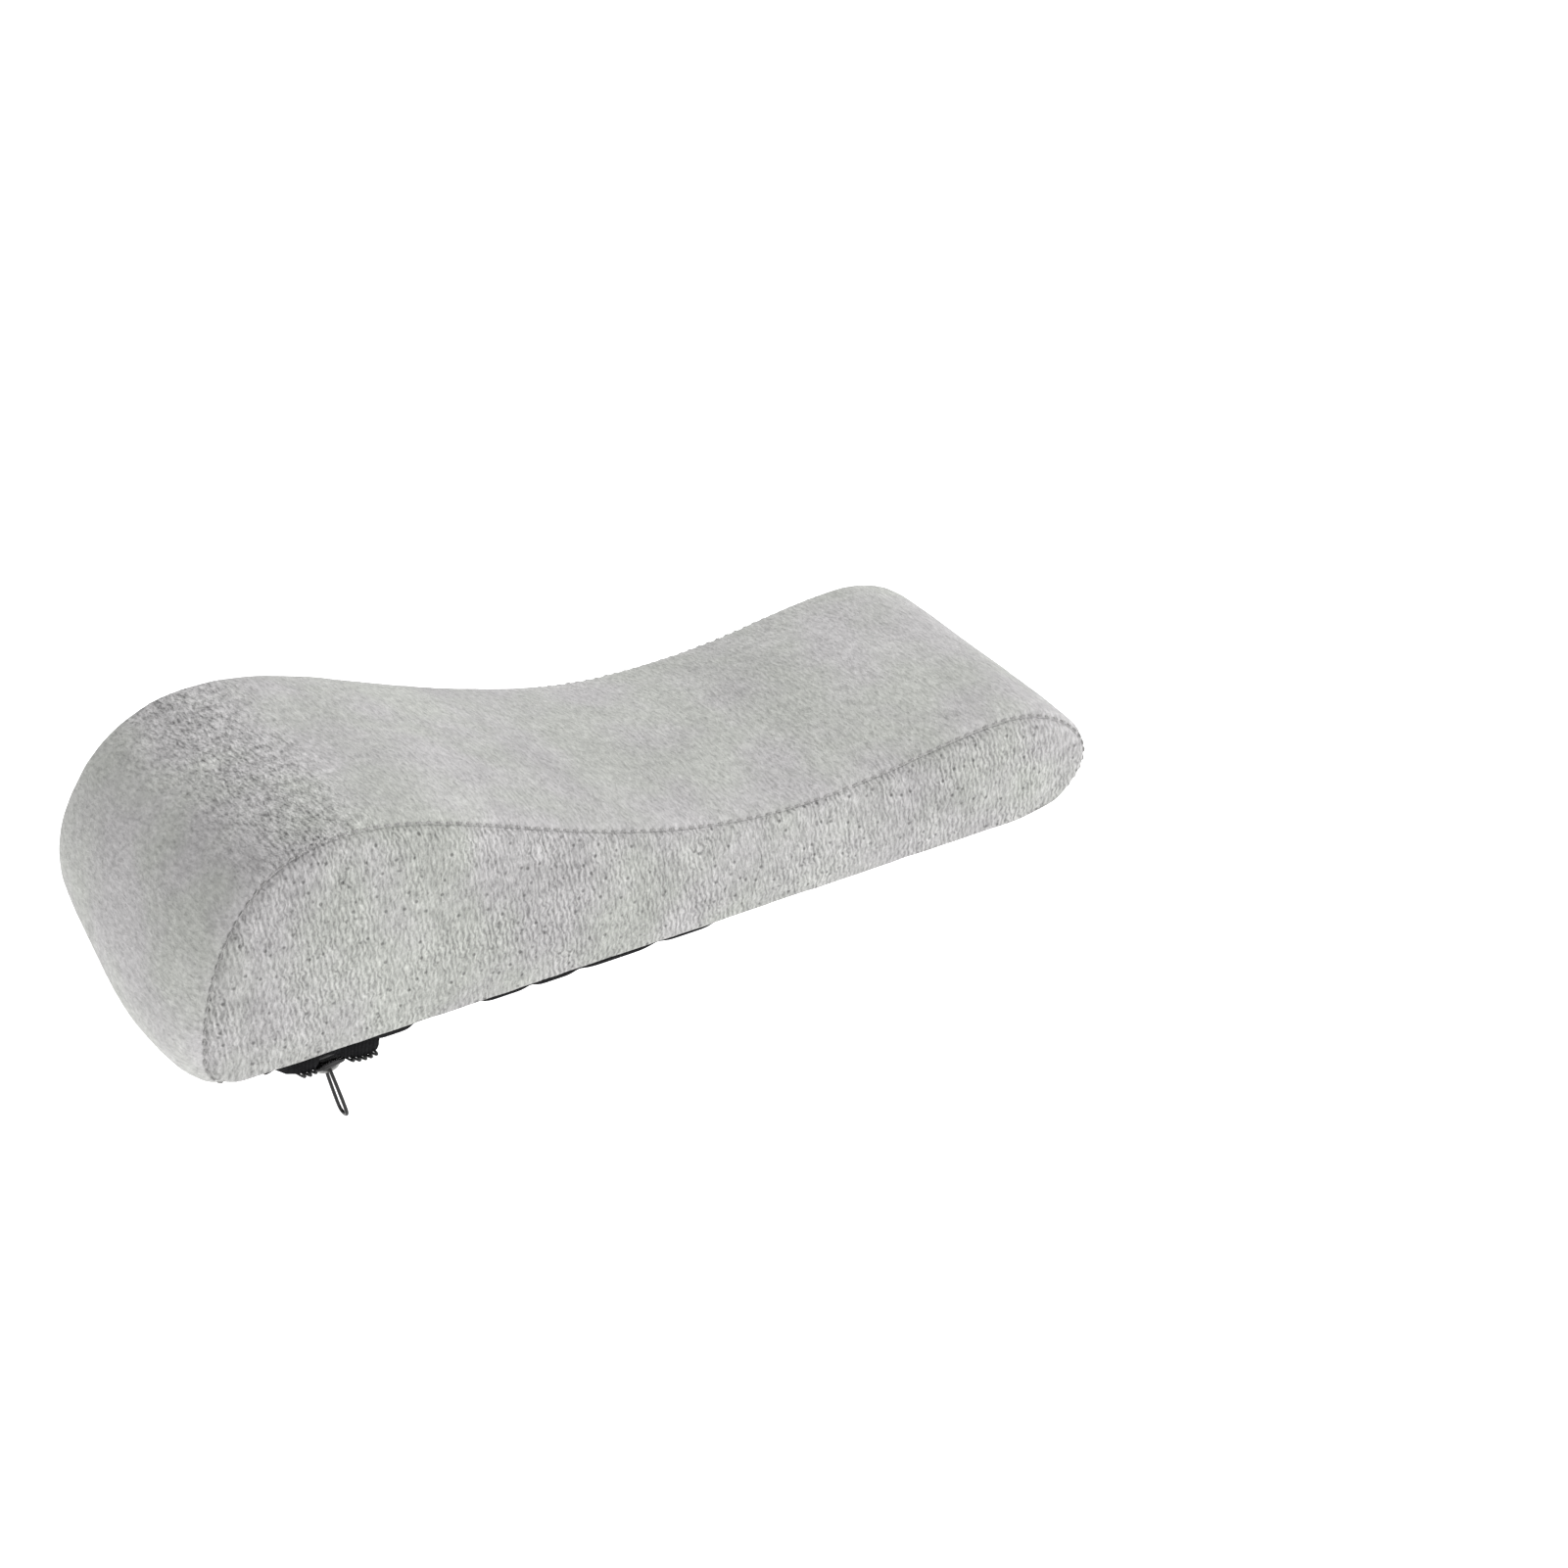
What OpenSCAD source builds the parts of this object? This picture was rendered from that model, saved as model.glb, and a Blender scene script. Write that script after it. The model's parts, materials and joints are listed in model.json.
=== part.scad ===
// Contoured foam pad for a chair's armrest, in a zipped velour cover with a non-slip base
// and two hook-and-loop straps. Millimetres.
// X runs from the tall end (-X) to the low end (+X). The zipper is along the -Y edge of the
// base. Z = 0 is the plane that the base's grip dots stand on, and the origin is at the
// pad's middle, on one of them.

/* [Pad] */
// Length over both ends
pad_length = 250; // [240:1:262]
// Width over both side panels
pad_width = 80; // [78:1:88]
// Height of the tall end's crest above the base
tall_height = 58; // [52:1:64]
// Height of the lowest point of the dip above the base
dip_height = 26; // [23:1:29]
// Height of the low end's crest above the base
low_height = 31; // [28:1:35]
// Distance of the tall crest from the tall end
tall_crest_in = 37; // [34:1:44]
// Distance of the dip's lowest point from the tall end
dip_in = 165; // [155:1:170]
// Distance of the low crest from the low end
low_crest_in = 26; // [22:1:30]
// Thickness of the velour and base panels
panel_t = 2; // [1.8:0.1:2.2]
// Thickness of the liner around the foam
liner_t = 0.5; // [0.4:0.1:0.8]

/* [Zipper] */
// Length of the closed chain
chain_length = 205.5; // [196.5:1.5:207]
// Distance of the chain's middle line from the pad's edge
chain_in = 7.8; // [7.6:0.1:8]
// Pitch of the coil, as on a no. 5 nylon coil zipper
coil_pitch = 1.5; // [1.4:0.1:1.6]
// Distance of the slider from the tall end when the zipper is closed
slider_in = 32.5; // [30:0.5:34]
// Tilt of the slider about the zipper's length
slider_tilt = 12; // [10:1:14]
// Length of the wire pull loop below its pivot
pull_length = 14; // [10:0.5:16]

/* [Straps] */
// Width of the webbing
webbing_w = 25; // [20:1:30]
// Thickness of the webbing
webbing_t = 1.2; // [1:0.1:1.3]
// Distance of each strap's middle from the pad's middle
strap_out = 62; // [56:1:68]
// Distance between grip dots
dot_pitch = 10; // [8:1:14]

/* [Hidden] */
$fn = 48;
eps = 0.01;

velour = [0.72, 0.71, 0.70];
charcoal = [0.10, 0.10, 0.11];
foam_white = [0.93, 0.91, 0.84];

tall_x = -pad_length / 2;
low_x = pad_length / 2;
inner_w = pad_width - 2 * panel_t;
dot_r = 1.6;
dot_h = 0.5;
base_z = dot_h;          // the base panel's outer face

// ---- Side outline ---------------------------------------------------------------------
arc_handle = 0.5523; // handle of a cubic curve that draws a quarter circle, per unit radius
tall_base_r = 9;
low_base_r = 12;
tall_crest_x = tall_x + tall_crest_in;
dip_x = tall_x + dip_in;
low_crest_x = low_x - low_crest_in;

// n points of a cubic curve, drawn above the base.
function cubic(p, n) = [
    for (i = [0 : n - 1])
    let (t = i / n, u = 1 - t)
    [0, base_z] + u * u * u * p[0] + 3 * u * u * t * p[1] + 3 * u * t * t * p[2] + t * t * t * p[3]
];

// From the base at the tall end, up and over the top, to the base at the low end.
outline = concat(
    cubic([[tall_x + tall_base_r, 0], [tall_x + tall_base_r * (1 - arc_handle), 0],
           [tall_x, tall_base_r * (1 - arc_handle)], [tall_x, tall_base_r]], 6),
    cubic([[tall_x, tall_base_r], [tall_x, tall_base_r + 20],
           [tall_crest_x - 28, tall_height], [tall_crest_x, tall_height]], 16),
    cubic([[tall_crest_x, tall_height], [tall_crest_x + 34, tall_height],
           [dip_x - 58, dip_height], [dip_x, dip_height]], 20),
    cubic([[dip_x, dip_height], [dip_x + 24, dip_height],
           [low_crest_x - 18, low_height], [low_crest_x, low_height]], 8),
    cubic([[low_crest_x, low_height], [low_crest_x + 14, low_height],
           [low_x, low_base_r + 9], [low_x, low_base_r]], 12),
    cubic([[low_x, low_base_r], [low_x, low_base_r * (1 - arc_handle)],
           [low_x - low_base_r * (1 - arc_handle), 0], [low_x - low_base_r, 0]], 7),
    [[low_x - low_base_r, base_z]]
);

function wrap(i, n) = (i + n) % n;

// The outline moved inwards by d, with each corner moved along its bisector.
function inset(pts, d) = let (n = len(pts)) [
    for (i = [0 : n - 1])
    let (
        a = pts[i] - pts[wrap(i - 1, n)],
        b = pts[wrap(i + 1, n)] - pts[i],
        na = [a.y, -a.x] / norm(a),
        nb = [b.y, -b.x] / norm(b)
    )
    pts[i] + d * (na + nb) / (1 + na * nb)
];

module along_y(width, centre = 0) {
    translate([0, centre + width / 2, 0])
    rotate([90, 0, 0])
    linear_extrude(width)
    children();
}

module along_x(width, centre = 0) {
    translate([centre - width / 2, 0, 0])
    rotate([90, 0, 90])
    linear_extrude(width)
    children();
}

// ---- Foam, liner and cover ------------------------------------------------------------
base_x0 = tall_x + tall_base_r;
base_x1 = low_x - low_base_r;
liner_slit = [150, 1];

module foam_core() {
    color(foam_white)
    along_y(inner_w - 2 * liner_t)
    polygon(inset(outline, panel_t + liner_t));
}

// The liner's slit, underneath, is where the foam goes in.
module inner_liner() {
    color("white")
    difference() {
        along_y(inner_w) polygon(inset(outline, panel_t));
        along_y(inner_w - 2 * liner_t) polygon(inset(outline, panel_t + liner_t));
        translate([-liner_slit.x / 2, -liner_slit.y / 2, 0])
        cube([liner_slit.x, liner_slit.y, base_z + panel_t + 2 * liner_t]);
    }
}

// One strip of velour over the top and down both ends.
module top_panel() {
    color(velour)
    difference() {
        along_y(inner_w) polygon(outline);
        along_y(inner_w + 1) polygon(inset(outline, panel_t));
        translate([base_x0, -pad_width / 2, -1])
        cube([base_x1 - base_x0, pad_width, base_z + panel_t + 1 + eps]);
    }
}

module side_panel(side) {
    color(velour)
    along_y(panel_t, side * (pad_width - panel_t) / 2)
    polygon(outline);
}

// ---- Zipper ---------------------------------------------------------------------------
chain_y = -pad_width / 2 + chain_in;
chain_x0 = tall_x + 18;
tape_t = 0.8;
tape_gap = 0.4;
tape_far_y = chain_y + 5.7;
coil_t = 1.3;
coil_half_w = 3;
coil_spine = 1;
coil_tooth = 0.6;
coil_reach = coil_half_w + 0.4;
tack_l = 1.5;
zip_slot_x0 = chain_x0 - 2 * tack_l;
zip_slot_x1 = chain_x0 + chain_length + 2 * tack_l;

// Half of a chain in plan: a spine with teeth towards +Y that pass the middle line.
module coil_comb(count, half_pitches) {
    length = count * coil_pitch;
    start = (1 + 2 * half_pitches) * coil_pitch / 4 - coil_tooth / 2;
    polygon(concat(
        [[0, 0], [0, coil_spine]],
        [for (i = [0 : count - 1]) let (x = start + i * coil_pitch) each
            [[x, coil_spine], [x, coil_reach], [x + coil_tooth, coil_reach],
             [x + coil_tooth, coil_spine]]],
        [[length, coil_spine], [length, 0]]
    ));
}

// A coil half that hangs below z = 0, with the chain's middle line on y = 0.
module coil_half(count, side) {
    mirror([0, side > 0 ? 1 : 0, 0])
    translate([0, -coil_half_w, -coil_t])
    linear_extrude(coil_t)
    coil_comb(count, side > 0 ? 1 : 0);
}

module zipper_tape(side) {
    outer = side < 0;
    y0 = outer ? -inner_w / 2 : chain_y + tape_gap / 2;
    y1 = outer ? chain_y - tape_gap / 2 : tape_far_y;
    color(charcoal)
    translate([zip_slot_x0, y0, base_z])
    cube([zip_slot_x1 - zip_slot_x0, y1 - y0, tape_t]);
}

module zipper_coil(side) {
    color("black")
    translate([chain_x0, chain_y, base_z])
    coil_half(round(chain_length / coil_pitch), side);
}

// Bar tacks that close both ends of the chain.
module zipper_end_tacks() {
    color("black")
    for (x = [chain_x0 - tack_l - 0.1, chain_x0 + chain_length + 0.1])
        translate([x, chain_y - coil_half_w, base_z - coil_t])
        cube([tack_l, 2 * coil_half_w, coil_t]);
}

// The slider's weight pulls a short wave of the chain down, so the slider hangs tilted.
slider_at = [tall_x + slider_in, -pad_width / 2 + 4.5, base_z - 3.4];
slack_half_top = 13;
slack_half_low = 9.5;
slack_t = 0.5;
slider_half_l = 4.2;
slack_spread = 4.3;      // from the slider's middle line to the lower edge of each wall

module at_slider() {
    translate(slider_at) rotate([-slider_tilt, 0, 0]) children();
}

// A wall of the wave: a boat-shaped strip between two edges, each given as [y, z].
module slack_wall(top, low) {
    run = low - top;
    translate([slider_at.x, top.x, top.y])
    rotate([atan2(run.y, run.x), 0, 0])
    linear_extrude(slack_t, center = true)
    polygon([[-slack_half_top, 0], [slack_half_top, 0],
             [slack_half_low, norm(run)], [-slack_half_low, norm(run)]]);
}

module zipper_slack_tape() {
    v = [cos(slider_tilt), -sin(slider_tilt)];
    middle = [slider_at.y, slider_at.z];
    color(charcoal) {
        slack_wall([-pad_width / 2 + 0.6, base_z - 0.4], middle - slack_spread * v);
        slack_wall([tape_far_y - 0.4, base_z - 0.5], middle + slack_spread * v);
    }
}

module zipper_slack_coil() {
    count = 4;
    color("black")
    at_slider()
    for (side = [-1, 1], x = [slider_half_l + 0.1, -slider_half_l - 0.1 - count * coil_pitch])
        translate([x, 0, coil_t / 2])
        coil_half(count, side);
}

// ---- Slider and pull ------------------------------------------------------------------
channel_h = 2;
plate_t = 0.9;
bridge_w = 1.5;
bridge_rise = 2;
bridge_window = [3.4, 1.4];
pull_wire_r = 0.5;
pull_half_w = 1.9;
pull_bend_r = 0.9;
pull_drop = channel_h / 2 + plate_t + 0.8;
pull_swing = 12;         // swing of the hanging loop towards the low end

module slider_plate() {
    linear_extrude(plate_t, center = true)
    hull() {
        for (side = [-1, 1]) {
            translate([-3, side * 2.5]) circle(1.2);
            translate([3.1, side * 1.8]) circle(1.1);
        }
    }
}

module slider_bridge() {
    foot = -channel_h / 2 - plate_t;
    along_y(bridge_w)
    difference() {
        polygon([[-3.3, foot + 0.2], [3.3, foot + 0.2], [2.5, foot - bridge_rise],
                 [-2.5, foot - bridge_rise]]);
        translate([-bridge_window.x / 2, foot - bridge_window.y]) square(bridge_window);
    }
}

module slider_body() {
    rim = [5, 0.6, 0.35];
    color([0.12, 0.12, 0.13])
    at_slider() {
        for (side = [-1, 1]) {
            translate([0, 0, side * (channel_h + plate_t) / 2]) slider_plate();
            for (edge = [-1, 1])
                translate([-2.6, edge * 2.5 - rim.y / 2, side > 0 ? channel_h / 2 - rim.z + eps
                           : -channel_h / 2 - eps])
                cube(rim);
        }
        translate([-2.4, 0, -channel_h / 2 - plate_t / 2])
        cylinder(r = 0.9, h = channel_h + plate_t);
        slider_bridge();
    }
}

module wire(length) {
    rotate([0, 180, 0]) cylinder(r = pull_wire_r, h = length);
}

module wire_bend(r, angle) {
    rotate_extrude(angle = angle) translate([r, 0]) circle(pull_wire_r);
}

// A wire loop that hangs from a straight bar on the pivot, in its own YZ plane.
module pull_loop() {
    leg = pull_length - pull_bend_r - pull_half_w - pull_wire_r;
    bar = 2 * (pull_half_w - pull_bend_r);
    color([0.12, 0.12, 0.13])
    at_slider()
    translate([0, 0, -pull_drop])
    rotate([0, -pull_swing, 0]) {
        translate([0, -bar / 2, 0]) rotate([-90, 0, 0]) cylinder(r = pull_wire_r, h = bar);
        for (side = [-1, 1]) {
            translate([0, side * bar / 2, -pull_bend_r])
            rotate([0, -90, 0])
            rotate([0, 0, side > 0 ? 0 : -90])
            wire_bend(pull_bend_r, 90);
            translate([0, side * pull_half_w, -pull_bend_r]) wire(leg);
        }
        translate([0, 0, -pull_bend_r - leg])
        rotate([0, -90, 0])
        rotate([0, 0, 90])
        wire_bend(pull_half_w, 180);
    }
}

// ---- Straps ---------------------------------------------------------------------------
strap_z = base_z - 1.2;  // middle of the webbing where it leaves its hem
plain_fold_y = pad_width / 2 - 11.5;
zip_fold_y = tape_far_y + 6.2;
hem_gap = 0.7;           // from the fold line to the sewn hem
hem_w = 5;
hem_t = 1.8;
patch_t = 0.7;
patch_l = 12;
short_tip_y = zip_fold_y + 21.3;
long_tip_y = short_tip_y - patch_l;
long_z = strap_z - webbing_t - 2 * patch_t - 0.1;

// Webbing along a middle line of [y, z] points, with a round edge at the first point, where it
// folds.
module ribbon(path, x) {
    r = webbing_t / 2;
    along_x(webbing_w, x) {
        polygon(concat(
            [for (p = path) [p.x, p.y + r]],
            [for (i = [len(path) - 1 : -1 : 0]) [path[i].x, path[i].y - r]]
        ));
        translate(path[0]) circle(r);
    }
}

module long_strap(x) {
    color([0.08, 0.08, 0.09])
    ribbon([[plain_fold_y, strap_z], [plain_fold_y - 2, strap_z], [short_tip_y + 6, long_z],
            [long_tip_y, long_z]], x);
}

module short_strap(x) {
    color([0.08, 0.08, 0.09])
    ribbon([[zip_fold_y, strap_z], [short_tip_y, strap_z]], x);
}

module patch(x, z) {
    translate([x - webbing_w / 2 + 1, long_tip_y, z])
    cube([webbing_w - 2, patch_l, patch_t]);
}

module hook_patch(x) {
    color([0.18, 0.18, 0.19]) patch(x, long_z + webbing_t / 2);
}

module loop_patch(x) {
    color([0.14, 0.14, 0.15]) patch(x, strap_z - webbing_t / 2 - patch_t);
}

// Each strap half is sewn to the base by a folded hem.
function hem_y0(side) = side > 0 ? plain_fold_y + hem_gap : zip_fold_y - hem_gap - hem_w;

module strap_hems(x) {
    color([0.08, 0.08, 0.09])
    for (side = [-1, 1])
        translate([x - webbing_w / 2, hem_y0(side), base_z - hem_t])
        cube([webbing_w, hem_w, hem_t]);
}

// ---- Base, dots and threads -----------------------------------------------------------
thread_r = 0.25;
stitch_l = 2;
stitch_pitch = 2.8;
seam_in = 0.9;           // from the panel edge to the line of stitches

module base_panel() {
    color(charcoal)
    difference() {
        translate([base_x0, -inner_w / 2, base_z])
        cube([base_x1 - base_x0, inner_w, panel_t]);
        translate([zip_slot_x0, -inner_w / 2 - 1, -1])
        cube([zip_slot_x1 - zip_slot_x0, tape_far_y + inner_w / 2 + 1, panel_t + 2]);
    }
}

function near_hem(x, y) = abs(abs(x) - strap_out) < webbing_w / 2 + dot_r + 0.2
    && (y > plain_fold_y - dot_r || y < zip_fold_y + dot_r);

module grip_dots() {
    across = floor((base_x1 - base_x0 - 12) / dot_pitch / 2);
    to_zip = floor((-tape_far_y - 4) / dot_pitch);
    to_plain = floor((pad_width / 2 - 6) / dot_pitch);
    color([0.05, 0.05, 0.06])
    for (i = [-across : across], j = [-to_zip : to_plain])
        let (x = i * dot_pitch, y = j * dot_pitch)
        if (!near_hem(x, y))
            translate([x, y, 0]) cylinder(r = dot_r, h = dot_h, $fn = 24);
}

// Running length along the outline at each of its points, and the point at a length.
function sum_to(pts) = [
    for (i = 0, s = 0; i < len(pts); i = i + 1,
         s = s + (i < len(pts) ? norm(pts[i] - pts[i - 1]) : 0)) s
];
run_length = sum_to(outline);
function outline_at(s) = [
    lookup(s, [for (i = [0 : len(outline) - 1]) [run_length[i], outline[i].x]]),
    lookup(s, [for (i = [0 : len(outline) - 1]) [run_length[i], outline[i].y]])
];

module stitch() {
    rotate([0, 90, 0]) cylinder(r = thread_r, h = stitch_l, center = true, $fn = 16);
}

// The row of stitches where the top panel meets a side panel.
module side_seam_thread(side) {
    total = run_length[len(run_length) - 1];
    y = side * (inner_w / 2 - seam_in);
    color(velour * 0.8)
    for (s = [stitch_pitch : stitch_pitch : total - stitch_pitch])
        let (
            p = outline_at(s),
            d = outline_at(s + stitch_l / 2) - outline_at(s - stitch_l / 2),
            out = [-d.y, d.x] / norm(d) * (thread_r + 0.05)
        )
        translate([p.x + out.x, y, p.y + out.y])
        rotate([0, -atan2(d.y, d.x), 0])
        stitch();
}

// The row of stitches round the base panel, apart from the zipper's edge.
module base_seam_thread() {
    edge_y = inner_w / 2 - seam_in;
    edge_x = [base_x0 + seam_in, base_x1 - seam_in];
    z = base_z - thread_r - 0.02;
    color([0.06, 0.06, 0.07]) {
        for (x = [edge_x[0] + stitch_pitch : stitch_pitch : edge_x[1] - stitch_pitch])
            translate([x, edge_y, z]) stitch();
        for (x = edge_x, y = [-edge_y + stitch_pitch : stitch_pitch : edge_y - stitch_pitch])
            translate([x, y, z]) rotate([0, 0, 90]) stitch();
    }
}

// Two rows of stitches and a cross through each hem.
module strap_tack_threads() {
    z = base_z - hem_t - thread_r - 0.02;
    rows = [-1, 1] * (hem_w / 2 - 1);
    color([0.3, 0.3, 0.32])
    for (x = [-strap_out, strap_out], side = [-1, 1], row = rows)
        for (i = [-3.5 : 1 : 3.5])
            translate([x + i * stitch_pitch, hem_y0(side) + hem_w / 2 + row, z]) stitch();
}

foam_core();
inner_liner();
top_panel();
side_panel(-1);  // zip_side_panel
side_panel(1);  // plain_side_panel
base_panel();
grip_dots();
side_seam_thread(-1);  // zip_seam_thread
side_seam_thread(1);  // plain_seam_thread
base_seam_thread();
zipper_tape(-1);  // zipper_tape_outer
zipper_tape(1);  // zipper_tape_inner
zipper_coil(-1);  // zipper_coil_outer
zipper_coil(1);  // zipper_coil_inner
zipper_end_tacks();
zipper_slack_tape();
zipper_slack_coil();
slider_body();
pull_loop();
strap_tack_threads();
strap_hems(-strap_out);  // tall_end_strap_hems
long_strap(-strap_out);  // tall_end_long_strap
hook_patch(-strap_out);  // tall_end_hook_patch
short_strap(-strap_out);  // tall_end_short_strap
loop_patch(-strap_out);  // tall_end_loop_patch
strap_hems(strap_out);  // low_end_strap_hems
long_strap(strap_out);  // low_end_long_strap
hook_patch(strap_out);  // low_end_hook_patch
short_strap(strap_out);  // low_end_short_strap
loop_patch(strap_out);  // low_end_loop_patch
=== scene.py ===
"""Looks for a contoured chair armrest pad: a zipped velour cover over foam, with a dark
non-slip base, a coil zipper with a hanging slider, and two hook-and-loop straps.

Everything is in metres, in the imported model's own frame. Places and sizes come from the
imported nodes.
"""
import json
import math
from contextlib import contextmanager
from functools import reduce

import bmesh
import bpy
import numpy as np
from mathutils import Matrix, Vector, bvhtree, kdtree, noise

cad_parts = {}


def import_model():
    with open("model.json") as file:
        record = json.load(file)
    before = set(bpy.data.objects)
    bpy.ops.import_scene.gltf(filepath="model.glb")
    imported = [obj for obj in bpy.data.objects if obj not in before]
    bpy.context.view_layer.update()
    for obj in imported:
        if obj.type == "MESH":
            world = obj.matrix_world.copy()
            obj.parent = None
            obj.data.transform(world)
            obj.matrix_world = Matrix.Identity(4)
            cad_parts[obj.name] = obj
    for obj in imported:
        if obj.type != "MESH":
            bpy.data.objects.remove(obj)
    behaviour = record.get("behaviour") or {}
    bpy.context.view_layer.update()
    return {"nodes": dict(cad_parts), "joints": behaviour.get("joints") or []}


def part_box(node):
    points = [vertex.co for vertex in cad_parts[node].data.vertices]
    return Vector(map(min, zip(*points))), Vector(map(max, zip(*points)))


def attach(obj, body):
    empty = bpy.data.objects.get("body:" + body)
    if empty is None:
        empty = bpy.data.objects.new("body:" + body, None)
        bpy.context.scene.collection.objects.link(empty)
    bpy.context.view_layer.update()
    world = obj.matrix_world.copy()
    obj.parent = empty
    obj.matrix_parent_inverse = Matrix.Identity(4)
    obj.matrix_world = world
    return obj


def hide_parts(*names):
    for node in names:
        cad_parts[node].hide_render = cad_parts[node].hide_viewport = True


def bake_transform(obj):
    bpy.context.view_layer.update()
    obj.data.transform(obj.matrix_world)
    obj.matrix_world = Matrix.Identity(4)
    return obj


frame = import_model()

MM = 0.001
rng = np.random.default_rng(7)
scene = bpy.context.scene


# ---- Places taken from the frame ----
def low(node):
    return np.array(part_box(node)[0])


def high(node):
    return np.array(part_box(node)[1])


def span(node):
    """Where a node starts and ends along x."""
    return low(node)[0], high(node)[0]


def joint(name):
    return next(j for j in frame["joints"] if j["name"] == name)


HALF_W = high("plain_side_panel")[1]
BASE_Z = low("base_panel")[2]
BASE_X = span("base_panel")
PAD_X = span("zip_side_panel")
CREST_X = PAD_X[0] + 31 * MM        # the middle of the tall end's crest
EDGE_R = 4 * MM                   # rounding where the cover's panels meet
SEAM_IN = EDGE_R * (1 - math.sqrt(0.5))
SEAM_Y = HALF_W - 0.6 * MM
BASE_ROUND = 0.4                    # the base edge's rounding, as a share of the others'
UNDER_SEAM_Y = SEAM_Y + SEAM_IN - BASE_ROUND * EDGE_R      # the side panels turn under to here
NOSE_CROWN = 5 * MM               # how far the tall end bulges between its seams
ZIP_EDGE_Y = high("zipper_tape_inner")[1] - 2 * MM         # where the base panel ends
ZIP_X = span("zipper_tape_inner")

# The slider's frame: its middle, and unit vectors along the zipper, across it and up into the pad
ACROSS = np.array(joint("pull_swing")["axis"])
ALONG_ZIP = np.array([1.0, 0, 0])
UP_SLIDER = np.cross(ALONG_ZIP, ACROSS)
TILT = math.atan2(-ACROSS[2], ACROSS[1])
PIVOT = np.array(joint("pull_swing")["pos_m"])
SLIDER = PIVOT + 2.7 * MM * UP_SLIDER
CHAIN_X = span("zipper_coil_outer")
CHAIN_Y = (high("zipper_coil_outer")[1] + low("zipper_coil_inner")[1]) / 2
COIL_PITCH = 1.5 * MM
COIL_Z = (low("zipper_coil_outer") + high("zipper_coil_outer"))[2] / 2


# ---- Mesh helpers ----
def assign(thing, **settings):
    for key, value in settings.items():
        setattr(thing, key, value)


def shown(name, data):
    """A new object in the scene."""
    ob = bpy.data.objects.new(name, data)
    scene.collection.objects.link(ob)
    return ob


def link(name, mesh, body, look, *nodes):
    """Makes a piece of a finished mesh, hangs it on its CAD body and lets it stand for nodes."""
    piece = shown(name, mesh)
    mesh.materials.clear()
    mesh.materials.append(LOOKS[look])
    mesh.shade_smooth()
    if body:
        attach(piece, body)
    if nodes:
        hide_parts(*nodes)
    return piece


def mesh_of(vertices, faces):
    mesh = bpy.data.meshes.new("mesh")
    mesh.from_pydata([tuple(v) for v in vertices], [], [tuple(int(i) for i in f) for f in faces])
    mesh.validate()
    return mesh


@contextmanager
def editing(mesh, result=None):
    """A mesh's BMesh, written back to it or to another mesh afterwards."""
    bm = bmesh.new()
    bm.from_mesh(mesh)
    yield bm
    bm.to_mesh(result or mesh)
    bm.free()


def outward(mesh):
    """Turns every face of a closed mesh to face out."""
    with editing(mesh) as bm:
        bmesh.ops.remove_doubles(bm, verts=bm.verts, dist=1e-7)
        bmesh.ops.recalc_face_normals(bm, faces=bm.faces)
    return mesh


def evaluated(ob):
    """The mesh of an object after its modifiers. The object goes."""
    graph = bpy.context.evaluated_depsgraph_get()
    result = bpy.data.meshes.new_from_object(ob.evaluated_get(graph), depsgraph=graph)
    bpy.data.objects.remove(ob)
    return result


def modified(mesh, *modifiers):
    """The mesh after some modifiers, each given as (type, settings)."""
    ob = shown("work", mesh)
    for kind, settings in modifiers:
        assign(ob.modifiers.new(kind, kind), **settings)
    return evaluated(ob)


def subdivided(mesh):
    return modified(mesh, ("SUBSURF", {}))


def rounded(width, segments, degrees):
    """A bevel of the edges that turn by more than an angle."""
    return ("BEVEL", {"width": width, "segments": segments, "angle_limit": math.radians(degrees)})


def points_of(mesh, key="co"):
    """The place of each of a mesh's points, or its normal."""
    values = np.empty(len(mesh.vertices) * 3, np.float32)
    mesh.vertices.foreach_get(key, values)
    return values.reshape(-1, 3).astype(float)


def faces_of(mesh):
    return [tuple(p.vertices) for p in mesh.polygons]


def set_points(mesh, co):
    mesh.vertices.foreach_set("co", np.asarray(co, np.float32).ravel())
    mesh.update()


def smooth_step(t):
    t = np.clip(t, 0, 1)
    return t * t * (3 - 2 * t)


def stacked(*columns):
    """Points from their coordinates. A coordinate can be one number for all of them."""
    return np.column_stack(np.broadcast_arrays(*columns)).astype(float)


def quads(rows, closed=True):
    """The faces between rows of point numbers. Each row can be a closed ring."""
    faces = []
    for a, b in zip(rows, rows[1:]):
        n = len(a)
        faces += [(a[i], a[(i + 1) % n], b[(i + 1) % n], b[i]) for i in range(n if closed else n - 1)]
    return faces


def numbered(rows, columns):
    return np.arange(rows * columns).reshape(rows, columns)


class Parts:
    """Gathers closed shapes into one mesh."""

    def __init__(self):
        self.vertices, self.faces = [], []

    def put(self, vertices, faces):
        first = len(self.vertices)
        self.vertices.extend(vertices)
        self.faces.extend(tuple(first + int(i) for i in f) for f in faces)

    def put_mesh(self, mesh):
        self.put(points_of(mesh), faces_of(mesh))

    def mesh(self):
        return outward(mesh_of(self.vertices, self.faces))


def unit(v):
    return v / np.linalg.norm(v, axis=-1, keepdims=True)


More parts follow.
